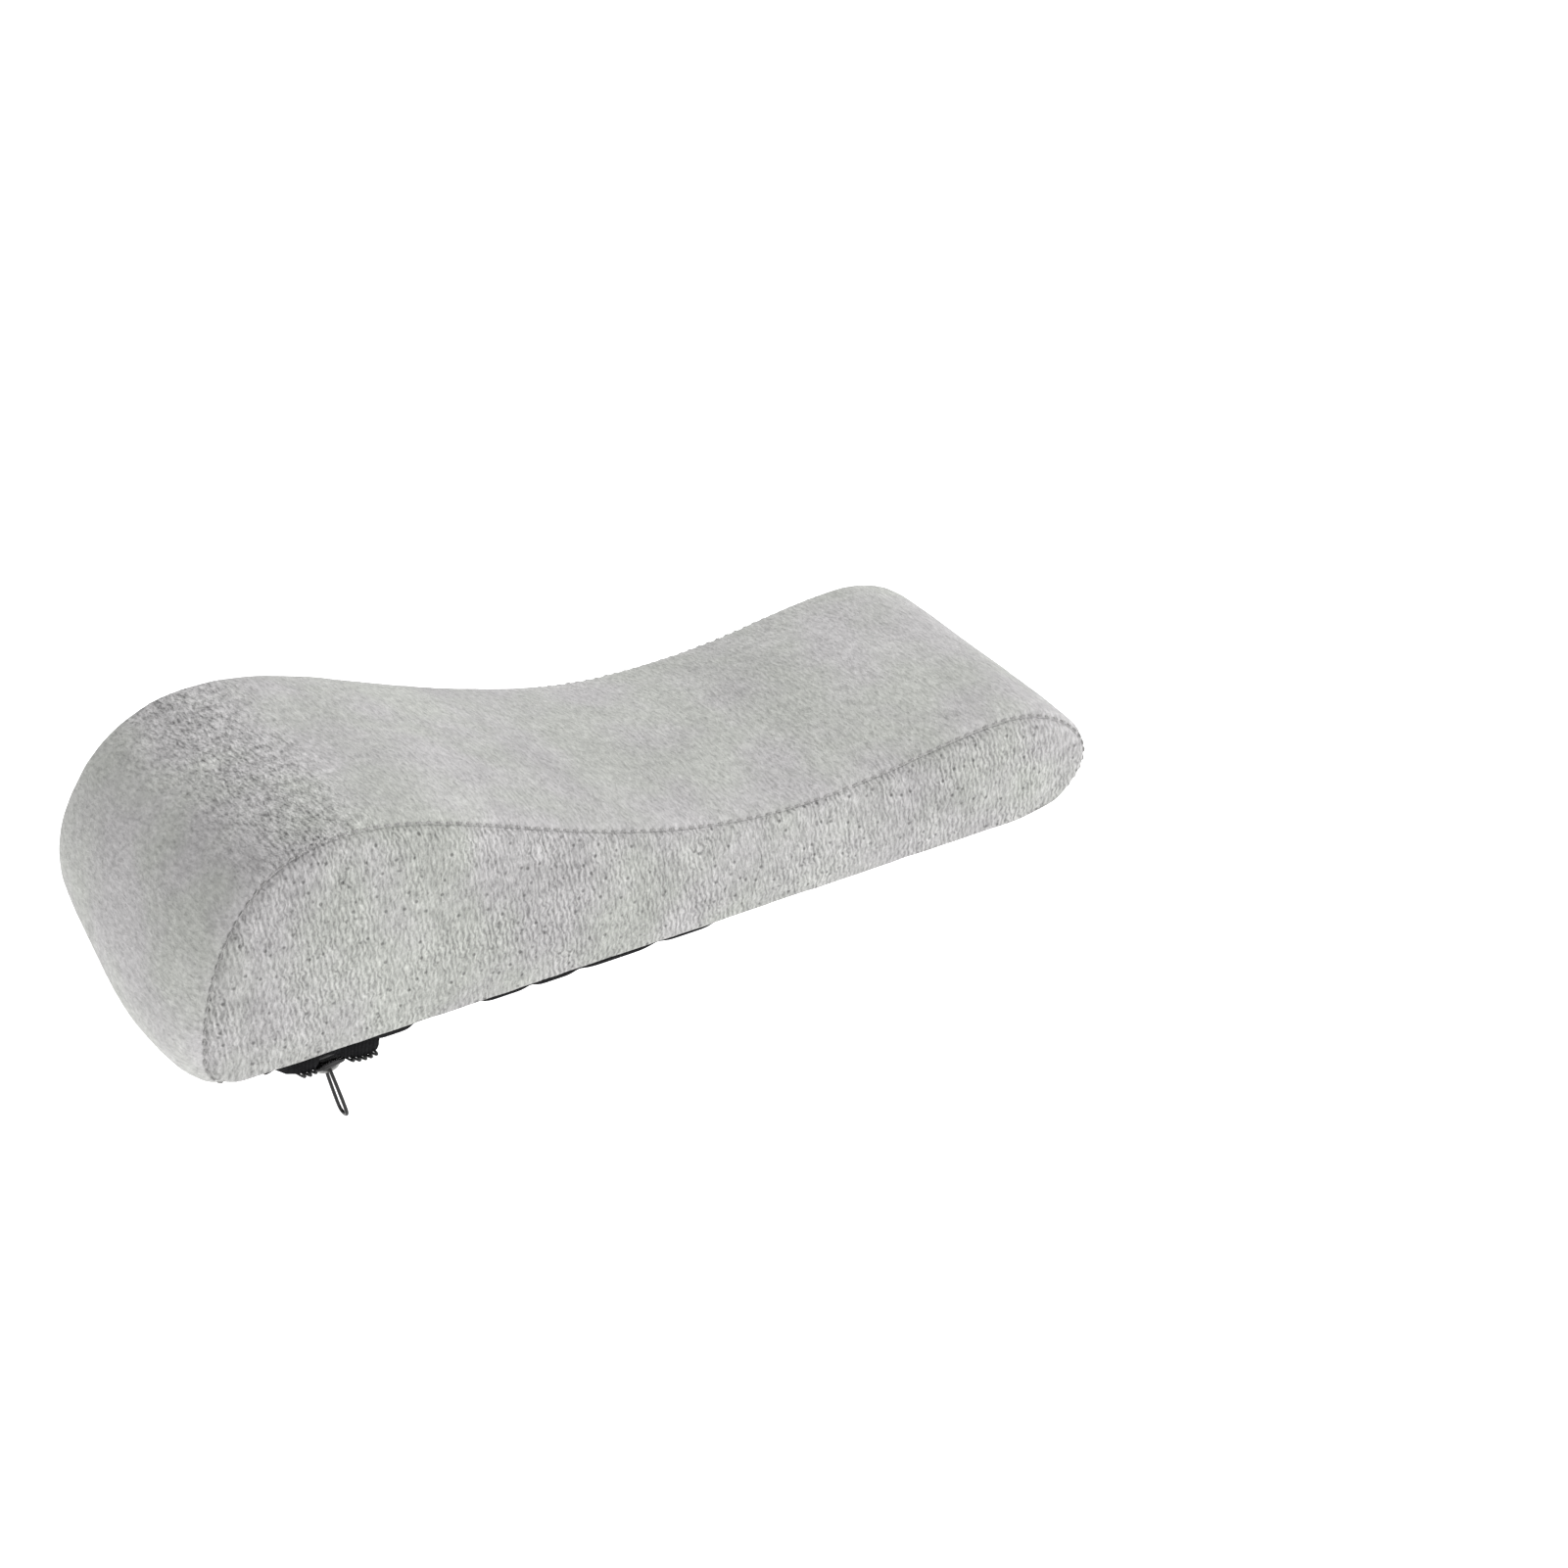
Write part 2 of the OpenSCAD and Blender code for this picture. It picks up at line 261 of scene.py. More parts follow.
def tube(path, radius, sides=8, closed=False):
    """A round tube along a path, with a radius at each point. An open tube has capped ends."""
    path = np.asarray(path, float)
    count = len(path)
    radius = np.broadcast_to(radius, count)
    ahead = unit(np.roll(path, -1, 0) - np.roll(path, 1, 0) if closed else np.gradient(path, axis=0))
    side = np.zeros_like(path)
    current = unit(np.cross(ahead[0], (0.31, 0.52, 0.79)))      # any direction off the path's own
    for i, direction in enumerate(ahead):
        current = unit(current - direction * (current @ direction))
        side[i] = current
    up = np.cross(ahead, side)
    angles = np.arange(sides) * 2 * math.pi / sides
    around = np.cos(angles)[:, None] * side[:, None] + np.sin(angles)[:, None] * up[:, None]
    vertices = (path[:, None] + radius[:, None, None] * around).reshape(-1, 3)
    rings = list(numbered(count, sides))
    if closed:
        return vertices, quads([*rings, rings[0]])
    return vertices, [*quads(rings), tuple(rings[0][::-1]), tuple(rings[-1])]


def sheet(rows, thickness, edge=0.12 * MM):
    """Fabric of some thickness through a grid of points, with softened edges."""
    rows = np.asarray(rows, float)
    faces = quads(numbered(*rows.shape[:2]), closed=False)
    return modified(mesh_of(rows.reshape(-1, 3), faces),
                    ("SOLIDIFY", {"thickness": thickness, "offset": 0, "use_even_offset": True}),
                    rounded(edge, 2, 50))


def prism(outline, z0, z1, bevel):
    """A plate with a rounded edge, from its outline."""
    count = len(outline)
    rings = numbered(2, count)
    vertices = [(x, y, z) for z in (z0, z1) for x, y in outline]
    faces = [tuple(rings[0][::-1]), tuple(rings[1]), *quads(rings)]
    return modified(outward(mesh_of(vertices, faces)), rounded(bevel, 3, 40))


def softened(points, times, closed=False):
    """A run of points with its corners cut, several times."""
    points = np.asarray(points, float)
    for _ in range(times):
        after = np.roll(points, -1, 0) if closed else points[1:]
        before = points if closed else points[:-1]
        cut = np.stack([0.75 * before + 0.25 * after, 0.25 * before + 0.75 * after], 1)
        cut = cut.reshape(-1, points.shape[1])
        points = cut if closed else np.vstack([points[:1], cut, points[-1:]])
    return points


def islands(node):
    """The points of each separate solid of a CAD node."""
    mesh = frame["nodes"][node].data
    co = points_of(mesh)
    names = {}
    ids = np.array([names.setdefault(tuple(np.round(p * 1e6).astype(int)), len(names)) for p in co])
    parent = list(range(len(names)))

    def root(i):
        while parent[i] != i:
            parent[i] = parent[parent[i]]
            i = parent[i]
        return i

    for polygon in mesh.polygons:
        first = root(ids[polygon.vertices[0]])
        for v in polygon.vertices[1:]:
            parent[root(ids[v])] = first
    groups = {}
    for i, p in zip(ids, co):
        groups.setdefault(root(i), []).append(p)
    return [np.array(g) for _, g in sorted(groups.items())]


def uneven(points, size, height, seed, detail=1):
    """Smooth noise at each point, with features of a size and of about a height, both in mm."""
    shift = Vector((seed * 13.7, seed * 5.3, seed * 9.1))
    size = size * MM
    values = [noise.fractal(Vector(p / size) + shift, 1.0, 2.0, detail) for p in points]
    return np.array(values) * height * MM



# ---- Node material helpers ----
LOOKS = {}
tree = None         # the node tree that is being built


def feed(socket, value):
    """Gives an input a value or a socket."""
    if isinstance(value, bpy.types.NodeSocket):
        tree.links.new(value, socket)
    else:
        socket.default_value = value


def add(kind, props=None, **inputs):
    """A shader node. Its inputs are named with _ for a space."""
    n = tree.nodes.new("ShaderNode" + kind)
    assign(n, **(props or {}))
    for key, value in inputs.items():
        feed(n.inputs[key.replace("_", " ")], value)
    return n


def maths(operation, *values):
    n = add("Math", {"operation": operation})
    for socket, value in zip(n.inputs, values):
        feed(socket, value)
    return n.outputs[0]


def product(*values):
    return reduce(lambda a, b: maths("MULTIPLY", a, b), values)


def total(*values):
    return reduce(lambda a, b: maths("ADD", a, b), values)


def place(scale=(1, 1, 1), turn=(0, 0, 0), at=(0, 0, 0)):
    """Object coordinates, scaled, turned and moved."""
    coords = add("TexCoord").outputs["Object"]
    return add("Mapping", Vector=coords, Scale=scale, Rotation=turn, Location=at).outputs[0]


def grain(scale, detail=2.0, rough=0.5, distort=0.0, at=None):
    """Noise from 0 to 1 with about 1 / scale metres to a feature."""
    return add("TexNoise", Vector=at or place(), Scale=scale, Detail=detail,
               Roughness=rough, Distortion=distort).outputs["Fac"]


def cells(size, props=None, at=None):
    """The distance from the middle of each cell."""
    return add("TexVoronoi", props, Vector=at or place(), Scale=1 / size).outputs["Distance"]


def banded(pitch, turn=(0, 0, 0), direction="X", wobble=0.0):
    """Bands of a pitch in metres, from 0 to 1."""
    per_band = 0.314159        # the wave texture's scale times the pitch
    return add("TexWave", {"bands_direction": direction}, Vector=place(turn=turn),
               Scale=per_band / pitch, Distortion=wobble, Detail_Scale=2.0).outputs["Fac"]


def spread(value, low_out, high_out, low_in=0.3, high_in=0.7):
    return add("MapRange", Value=value, From_Min=low_in, From_Max=high_in, To_Min=low_out,
               To_Max=high_out).outputs[0]


def shaded(colour, brightness):
    """A colour times a brightness socket."""
    return add("VectorMath", {"operation": "SCALE"}, Vector=colour,
               Scale=brightness).outputs[0]


def mixed(share, a, b):
    """A colour that goes from a to b as a socket goes from 0 to 1."""
    n = add("Mix", {"data_type": "RGBA"}, Factor=share)
    n.inputs[6].default_value = (*a, 1)        # the node's inputs A and B for colours
    n.inputs[7].default_value = (*b, 1)
    return n.outputs[2]


def finish(colour, tones, height, distance, strength=1.0, **inputs):
    """The Principled BSDF's inputs, with some tones of a colour, and bumps of a height."""
    bumps = add("Bump", Height=height, Distance=distance, Strength=strength).outputs[0]
    return {"Base_Color": shaded(colour, product(*tones)), "Normal": bumps, **inputs}


def material(name, build, *args, **settings):
    """A node material. build(*args, **settings) returns the Principled BSDF's inputs."""
    global tree
    m = LOOKS[name] = bpy.data.materials.new(name)
    m.use_nodes = True
    tree = m.node_tree
    tree.nodes.clear()
    shader = add("BsdfPrincipled", **build(*args, **settings))
    add("OutputMaterial", Surface=shader.outputs[0])


# ---- Materials ----
def velour(base, rib, contrast, flow, crest_x=None):
    """Short-pile velour: brushed patches, short streaks of pile that lies flat, fine ribs and a few
    pits darkened as painted shade, with painted glints beside them. flow scales space for the
    streaks: they are longest where it is least. The ribs fade in and out, and the colour drifts
    between greenish and pinkish. Across the crest, if its place is given, the pattern is stronger,
    and on the end below it painted light makes it lighter towards the base, as bounce light from
    the floor, and painted shade makes it darker towards the top."""
    lean = (0, 0.16, 0)
    pit_spacing = 2.9 * MM
    colour = np.array(base)
    brushed = grain(30, 3.0, 0.6, 0.7, place((1, 0.6, 1), (0, 0.3, 0.5)))
    blotch = grain(120, 3.0, 0.6)
    patchy = grain(75)
    streaks = grain(1150, 2.5, 0.6, 0.3, place(flow, lean))
    tufts = grain(2400, 2.0, 0.6)
    ribs = banded(1.35 * MM, lean, wobble=7.0)
    crushed = grain(330, 2.0, 0.6)
    # The pits are darkened as painted shade, and the cells offset from them are brightened as painted
    # glints.
    pits = cells(pit_spacing)
    painted_glints = cells(pit_spacing, at=place(at=(0.55 * MM, 0, 0.3 * MM)))
    strong, painted_end_light = contrast, 1.0
    if crest_x is not None:
        x, _, z = add("SeparateXYZ", Vector=place()).outputs
        off = maths("ABSOLUTE", maths("SUBTRACT", x, crest_x))
        strong = spread(off, 1.9, contrast, 3 * MM, 20 * MM)
        # Painted light on the tall end below the crest: lighter towards the base as painted bounce
        # light from the floor, darker towards the top as painted shade.
        down = spread(z, 0.17, -0.07, 6 * MM, 52 * MM)
        end = spread(x, 1.0, 0.0, crest_x - 14 * MM, crest_x + 4 * MM)
        painted_end_light = total(1.0, product(down, end))
    pattern = total(
        spread(streaks, -0.34, 0.31, 0.25, 0.75),
        spread(tufts, -0.13, 0.12, 0.25, 0.75),
        spread(crushed, -0.11, 0.11),
        product(spread(ribs, -0.21 * rib, 0.18 * rib, 0, 1),
                spread(patchy, 0.35, 1.3, 0.35, 0.65)))
    tones = (
        spread(brushed, 0.90, 1.09),
        spread(blotch, 0.96, 1.04),
        total(1.0, product(pattern, strong)),
        # painted bounce light and painted shade on the tall end
        painted_end_light,
        # painted shade in the pits, then painted glints beside them
        spread(pits, 1 - 0.55 * rib, 1.0, 0.10, 0.22),
        spread(painted_glints, 1 + 0.2 * rib, 1.0, 0.08, 0.18))
    height = total(product(streaks, 1.2), product(tufts, 0.4), product(ribs, 0.4 * rib))
    drift = spread(grain(42), 0, 1, 0.38, 0.62)
    hue = mixed(drift, colour * (0.985, 1.0, 0.955), colour * (1.005, 0.985, 1.0))
    return finish(hue, tones, product(height, strong), 0.5 * MM, 0.9, Roughness=0.95,
                  Specular_IOR_Level=0.1, Sheen_Weight=0.35)


def knitted(colour, cell, shine=0.25):
    """A fine knit of small loops."""
    loops = cells(cell, {"distance": "MANHATTAN"}, place((1, 1.4, 1)))
    tones = (spread(loops, 1.25, 0.6, 0, 0.7),
             spread(grain(60, 3.0), 0.85, 1.15))
    return finish(colour, tones, product(loops, -1.0), 0.3 * cell,
                  Roughness=0.85, Specular_IOR_Level=shine, Sheen_Weight=0.15)


def twill(colour, pitch):
    """A woven tape: diagonal ribs that turn back and forth, as a herringbone."""
    one, other = (banded(pitch, (0, 0, turn), wobble=0.4) for turn in (0.8, -0.8))
    columns = spread(banded(6 * pitch, direction="Y"), 0, 1, 0.45, 0.55)
    back = maths("SUBTRACT", 1.0, columns)
    ribs = total(product(one, columns), product(other, back))
    fuzz = grain(2400)
    tones = (spread(ribs, 0.75, 1.2, 0, 1),
             spread(grain(90, 3.0), 0.85, 1.15),
             spread(fuzz, 0.7, 1.3))
    return finish(colour, tones, total(ribs, product(fuzz, 0.4)),
                  0.12 * pitch, Roughness=0.9, Specular_IOR_Level=0.08)


def woven(colour, pitch):
    """Webbing: plain weave with heavy cross ribs."""
    weft = banded(pitch, direction="Y", wobble=0.3)
    warp = banded(0.7 * pitch, wobble=0.3)
    fuzz = grain(2200)
    tones = (spread(product(weft, warp), 0.6, 1.35, 0, 0.8),
             spread(grain(70, 3.0), 0.85, 1.15),
             spread(fuzz, 0.8, 1.2))
    height = total(weft, product(warp, 0.6), product(fuzz, 0.2))
    return finish(colour, tones, height, 0.2 * pitch, Roughness=0.75,
                  Specular_IOR_Level=0.3, Sheen_Weight=0.1)


def spun(colour):
    """Sewing thread: fine diagonal plies."""
    plies = banded(0.35 * MM, (0.3, 0.5, 0.8))
    tones = (spread(plies, 0.7, 1.2, 0, 1),
             spread(grain(400), 0.85, 1.15))
    return finish(colour, tones, plies, 0.05 * MM, Roughness=0.7, Sheen_Weight=0.2)


def moulded(colour, rough, coat=0.0, wear=0.1, grit=900, shine=0.5, metal=0.0):
    """Plastic, rubber, enamel or plated metal: slightly uneven, with worn and duller spots."""
    fine = grain(grit, 3.0, 0.6)
    spots = grain(260, 4.0, 0.65)
    tones = (spread(spots, 1 - wear, 1 + 2 * wear, 0.35, 0.75),
             spread(fine, 0.92, 1.08))
    dull = spread(spots, rough * 0.8, min(1.0, rough * 1.25))
    return finish(colour, tones, fine, 0.03 * MM, 0.5, Roughness=dull, Metallic=metal,
                  Specular_IOR_Level=shine, Coat_Weight=coat, Coat_Roughness=0.08)


def open_cells(colour):
    """Foam: small open cells with lighter walls."""
    big, small = (add("TexVoronoi", Vector=place(), Scale=scale).outputs["Distance"]
                  for scale in (900, 2600))
    walls = total(big, product(small, 0.6))
    tones = (spread(walls, 0.7, 1.1, 0.1, 0.9),
             spread(grain(40, 3.0), 0.94, 1.04))
    return finish(colour, tones, walls, 0.35 * MM, Roughness=0.95,
                  Specular_IOR_Level=0.2, Subsurface_Weight=0.05)


material("velour_top", velour, (0.46, 0.46, 0.455), 0.35, 0.72, (1, 0.45, 1), CREST_X)
# The side panels are the same velour as the top, with a darker colour as painted shade.
material("velour_side", velour, (0.425, 0.425, 0.42), 1.0, 0.95, (1, 1, 0.42))
material("base_knit", knitted, (0.022, 0.022, 0.024), 1.1 * MM)
material("liner_knit", knitted, (0.75, 0.75, 0.73), 0.7 * MM)
material("memory_foam", open_cells, (0.85, 0.79, 0.62))
material("grip_rubber", moulded, (0.018, 0.018, 0.020), 0.45, wear=0.2)
material("grey_thread", spun, (0.34, 0.335, 0.33))
material("black_thread", spun, (0.02, 0.02, 0.022))
material("tack_thread", spun, (0.10, 0.10, 0.105))
material("zipper_tape", twill, (0.012, 0.012, 0.013), 0.7 * MM)
material("coil_nylon", moulded, (0.014, 0.014, 0.015), 0.30, coat=0.15)
# Light grey nickel for the slider's bridge: a painted highlight on the black slider.
material("nickel_painted_highlight", moulded, (0.42, 0.42, 0.41), 0.3, wear=0.15, metal=0.6)
material("black_enamel", moulded, (0.006, 0.006, 0.0065), 0.2, coat=0.3, wear=0.3, shine=0.25)
material("webbing", woven, (0.020, 0.020, 0.022), 1.1 * MM)
material("hook_tape", moulded, (0.035, 0.035, 0.037), 0.40, grit=1500)
material("loop_tape", knitted, (0.028, 0.028, 0.030), 0.8 * MM, 0.15)


# ---- Outline of the pad ----
def read_outline():
    """The side panel's outline in the frame, as a closed run of (x, z) points that goes up the
    tall end, over the top and back along the base."""
    mesh = frame["nodes"]["zip_side_panel"].data
    co = points_of(mesh)
    on_face = co[:, 1] < co[:, 1].min() + 1e-6
    keys = [(round(x * 1e6), round(z * 1e6)) for x, _, z in co]
    edges = set()
    for polygon in mesh.polygons:
        corners = list(polygon.vertices)
        if all(on_face[corners]):
            edges |= {(keys[a], keys[b]) for a, b in zip(corners, corners[1:] + corners[:1])}
    following = {a: b for a, b in edges if (b, a) not in edges}
    run = [next(k for k in keys if k in following)]
    while following[run[-1]] != run[0]:
        run.append(following[run[-1]])
    run = np.array(run) * 1e-6
    x, z = run.T
    turning = np.sum(x * np.roll(z, -1) - np.roll(x, -1) * z)
    return run[::-1] if turning > 0 else run


def resampled(points, count, closed=False):
    """Points at even steps along a run. A closed run leaves out its last point."""
    if closed:
        points = np.vstack([points, points[:1]])
    steps = np.r_[0, np.cumsum(np.linalg.norm(np.diff(points, axis=0), axis=1))]
    at = np.linspace(0, steps[-1], count + 1)[: count if closed else count + 1]
    return np.column_stack([np.interp(at, steps, points[:, k]) for k in range(points.shape[1])])


def outline_normals(loop):
    along = unit(np.roll(loop, -1, 0) - np.roll(loop, 1, 0))
    return np.column_stack([-along[:, 1], along[:, 0]])


def fine_outline():
    """The outline at about 1 mm steps, with its facets smoothed out."""
    loop = resampled(read_outline(), 600, closed=True)
    for _ in range(6):
        loop = (np.roll(loop, 1, 0) + 2 * loop + np.roll(loop, -1, 0)) / 4
    return loop


def sided_outline(fine):
    """The outline as four runs, up the tall end, along the top, down the low end and back along
    the base, joined in one loop. They meet where the outline faces a diagonal."""
    normals = outline_normals(fine)
    facing = [(-1, -1), (-1, 1), (1, 1), (1, -1)]
    corner = [int(np.argmax(normals @ f)) for f in facing]
    loop = []
    for a, b, count in zip(corner, corner[1:] + corner[:1], (UP, ALONG, UP, ALONG)):
        run = fine[a:b + 1] if a < b else np.vstack([fine[a:], fine[:b + 1]])
        loop.append(resampled(run, count)[:-1])
    return np.vstack(loop)


UP, ALONG = 22, 96              # steps along the ends, and along the top and the base
FINE_OUTLINE = fine_outline()
OUTLINE = sided_outline(FINE_OUTLINE)
OUT = outline_normals(OUTLINE)
COUNT = len(OUTLINE)


def snap_base_seam(x):
    """Moves the outline's nearest point to an end of the base panel. Returns its place."""
    away = np.abs(OUTLINE[:, 0] - x) + 10 * np.abs(OUTLINE[:, 1] - BASE_Z)
    k = int(np.argmin(away))
    OUTLINE[k] = (x, BASE_Z)
    return k


BASE_SEAM_AT = [snap_base_seam(x) for x in BASE_X]


def edge_steps(first, last, radius):
    """How far in from both faces a rounded edge is, at four angles from first to last."""
    angles = np.radians(np.linspace(first, last, 4))
    return radius * (1 - np.cos(angles)), radius * (1 - np.sin(angles))


def over_share(points):
    """1 where the outline runs over the top and ends, 0 on the base."""
    return smooth_step((points[:, 1] - BASE_Z - 0.3 * MM) / (5 * MM))


def under_y(points):
    """How far out the side seam's line runs."""
    return UNDER_SEAM_Y + (SEAM_Y - UNDER_SEAM_Y) * over_share(points)


# How far the stuffing falls short of each bottom corner: the corner's end and side, how far the
# softness reaches along x, y and z, and how far the corner is drawn in, in mm
SOFT_CORNERS = (
    (0, 1, (26, 52, 40), (3.0, 1.0, 9.5)),
    (1, 1, (26, 28, 24), (2.0, 1.5, 2.0)),
    (1, -1, (24, 24, 22), (1.2, 1.0, 1.2)),
)


def pillow_corners(points):
    """Draws in the bottom corners, where the stuffing doesn't reach."""
    points = np.array(points, float)
    x, y, z = points.T
    moved = points.copy()
    for end, side, reach, pull in SOFT_CORNERS:
        away = (np.abs(x - PAD_X[end]), HALF_W - side * y, z - BASE_Z)
        near = math.prod(smooth_step(1 - a / (r * MM)) for a, r in zip(away, reach))
        shift = np.array([-math.copysign(pull[0], PAD_X[end]), -side * pull[1], pull[2]]) * MM
        moved += near[:, None] * shift
    return moved


def pad_cage(half_w, stand, radius, columns_y, crown=0.0):
    """A closed body on the outline, between two side faces and with rounded edges. stand is how
    far it stands outside the outline, and crown how far the tall end bulges, most towards the
    zip side. The faces' panels are 0 top, 1 zip side, 2 plain side and 3 base."""
    vertices, faces, panels = [], [], []

    def put(points):
        first = len(vertices)
        vertices.extend(points)
        return np.arange(first, first + len(points))

    def fill(rows, panel_of, closed=True):
        new = quads(rows, closed)
        faces.extend(new)
        panels.extend(np.resize(panel_of, len(new)).tolist())

    rounding = BASE_ROUND + (1 - BASE_ROUND) * over_share(OUTLINE)
    bulge = crown * smooth_step(-(OUT[:, 0] + 0.15) * 1.3)

    def ring(inset, y, y_in=0.0):
        """y is a face's place, and y_in how far inside it the ring runs."""
        at_y = y - math.copysign(1, y) * y_in * rounding
        full = (1 - np.abs(at_y / half_w) ** 5) * (0.72 - 0.2 * at_y / half_w)
        inner = OUTLINE + OUT * (stand - inset * rounding + bulge * full)[:, None]
        return put(stacked(inner[:, 0], at_y, inner[:, 1]))

    inset, y_in = edge_steps(45, 0, radius)
    rings = [ring(i, -half_w, y) for i, y in zip(inset, y_in)]
    rings += [ring(0, y) for y in columns_y]
    rings += [ring(i, half_w, y) for i, y in zip(inset[::-1], y_in[::-1])]
    first_base, last_base = sorted(BASE_SEAM_AT)
    strips = len(rings) - 1
    for j in range(strips):
        under = 1 if j < 3 else 2 if j >= strips - 3 else 3
        fill(rings[j:j + 2], [under if first_base <= i < last_base else 0 for i in range(COUNT)])

    for side, edge in ((-1, rings[0]), (1, rings[-1])):
        which = 1 if side < 0 else 2
        loops = [edge]
        for i, y in list(zip(*edge_steps(45, 90, radius)))[1:]:
            loops.append(ring(i, side * half_w, y))
        loops.append(ring(radius + 1.7 * MM, side * half_w))
        fill(loops, which)
        fill(side_grid([vertices[i] for i in loops[-1]], loops[-1], put), which, closed=False)
    mesh = mesh_of(pillow_corners(vertices), faces)
    mesh.polygons.foreach_set("material_index", panels)
    with editing(mesh) as bm:
        bmesh.ops.recalc_face_normals(bm, faces=bm.faces)
    return mesh


def side_grid(points, ids, put):
    """Fills a four-sided loop with a grid that runs evenly between its sides. Row 0 is the base
    and column 0 the tall end."""
    points = np.array(points)
    left = np.r_[0:UP + 1]
    top = np.r_[UP:UP + ALONG + 1]
    right = np.r_[UP + ALONG:2 * UP + ALONG + 1][::-1]
    bottom = np.r_[2 * UP + ALONG:COUNT, 0][::-1]
    grid = np.zeros((UP + 1, ALONG + 1), int)
    grid[:, 0], grid[:, -1] = ids[left], ids[right]
    grid[0], grid[-1] = ids[bottom], ids[top]
    u = (np.arange(1, ALONG) / ALONG)[:, None]

    def across(a, b):
        return (1 - u) * a + u * b

    for i in range(1, UP):
        v = i / UP
        base, over = points[bottom], points[top]
        corners = (1 - v) * across(base[0], base[-1]) + v * across(over[0], over[-1])
        sides = across(points[left][i], points[right][i])
        grid[i, 1:-1] = put((1 - v) * base[1:-1] + v * over[1:-1] + sides - corners)
    return grid


def seam_points():
    """Points every half millimetre or so along the cover's seams."""
    run = resampled(FINE_OUTLINE, 1200, closed=True)
    sides = [stacked(run[:, 0], side * under_y(run), run[:, 1]) for side in (-1, 1)]
    across = np.linspace(-UNDER_SEAM_Y, UNDER_SEAM_Y, 160)
    return pillow_corners(np.vstack(sides + [stacked(x, across, BASE_Z) for x in BASE_X]))


def distance_to(points, targets):
    finder = kdtree.KDTree(len(targets))
    for i, p in enumerate(targets):
        finder.insert(p, i)
    finder.balance()
    return np.array([finder.find(p)[2] for p in points])


def evened(mesh, values, held, times):
    """Values at a mesh's points after averaging with their neighbours. Held points keep theirs."""
    edges = np.array([e.vertices[:] for e in mesh.edges])
    count = np.zeros(len(values))
    np.add.at(count, edges.ravel(), 1)
    for _ in range(times):
        near = np.zeros_like(values)
        np.add.at(near, edges[:, 0], values[edges[:, 1]])
        np.add.at(near, edges[:, 1], values[edges[:, 0]])
        values = np.where(held[:, None], values, 0.5 * values + 0.5 * near / count[:, None])
    return values


def inflated(mesh, held, limits):
    """The cover after a cloth simulation with air pressure inside, and held points fixed. A point
    moves at most as far as its limit."""
    frames = 20
    rest = points_of(mesh)
    ob = shown("cover_sim", mesh.copy())
    ob.vertex_groups.new(name="held").add(np.nonzero(held)[0].tolist(), 1.0, "REPLACE")
    cloth = ob.modifiers.new("cloth", "CLOTH")
    assign(cloth.settings, quality=6, mass=0.25, tension_stiffness=12, compression_stiffness=12,
           shear_stiffness=6, bending_stiffness=0.8, use_pressure=True,
           uniform_pressure_force=3.0, shrink_min=-0.008, vertex_group_mass="held")
    cloth.settings.effector_weights.gravity = 0
    cloth.point_cache.frame_end = frames
    for number in range(1, frames + 1):
        scene.frame_set(number)
    moved = points_of(evaluated(ob)) - rest
    scene.frame_set(1)
    moved = evened(mesh, moved, held, 14)
    size = np.linalg.norm(moved, axis=1) + 1e-12
    scale = limits * np.tanh(size / limits) / size
    return rest + moved * scale[:, None]


def sew(mesh, seams):
    """Sinks the seams, puckers the fabric beside them and gives the panels a soft unevenness, with
    a band of crumpled pile over the tall end's crest."""
    co, out = points_of(mesh), points_of(mesh, "normal")
    x, y, z = co.T
    away = distance_to(co, seams)
    sunk = 0.42 * MM * np.exp(-(away / (0.9 * MM)) ** 2) + 0.40 * MM * np.exp(-away / (2.6 * MM))
    pucker = uneven(co, 5.5, 0.18, 3) * np.exp(-away / (5 * MM))
    loose = 1 - np.exp(-away / (9 * MM))
    swell = uneven(co, 34, 0.6, 1) + uneven(co, 13, 0.2, 2)
    nap = uneven(co, 2.8, 0.05, 4)
    crest = np.exp(-((x - CREST_X) / (11 * MM)) ** 2) * smooth_step((z - 30 * MM) / (15 * MM))
    crest = crest * smooth_step((SEAM_Y - np.abs(y)) / (6 * MM))
    crumple = uneven(co, 3.4, 0.28, 5, 2) * crest
    resting = smooth_step((z - BASE_Z) / (4 * MM))
    shift = -sunk + pucker + swell * loose * resting + nap + crumple
    set_points(mesh, co + out * shift[:, None])


def panel(mesh, index, dropped=None):
    """One panel of the cover as its own mesh, or all of them if index is None. dropped(centre)
    says which faces to leave out."""
    result = bpy.data.meshes.new("panel")
    with editing(mesh, result) as bm:
        gone = [f for f in bm.faces if (index is not None and f.material_index != index)
                or (dropped and dropped(f.calc_center_median()))]
        bmesh.ops.delete(bm, geom=gone, context="FACES")
    return result


def over_zipper(centre):
    return centre.y < ZIP_EDGE_Y and ZIP_X[0] < centre.x < ZIP_X[1]


def shell(mesh, thickness):
    """Fabric of some thickness inside a surface."""
    return modified(mesh, ("SOLIDIFY", {"thickness": thickness}))


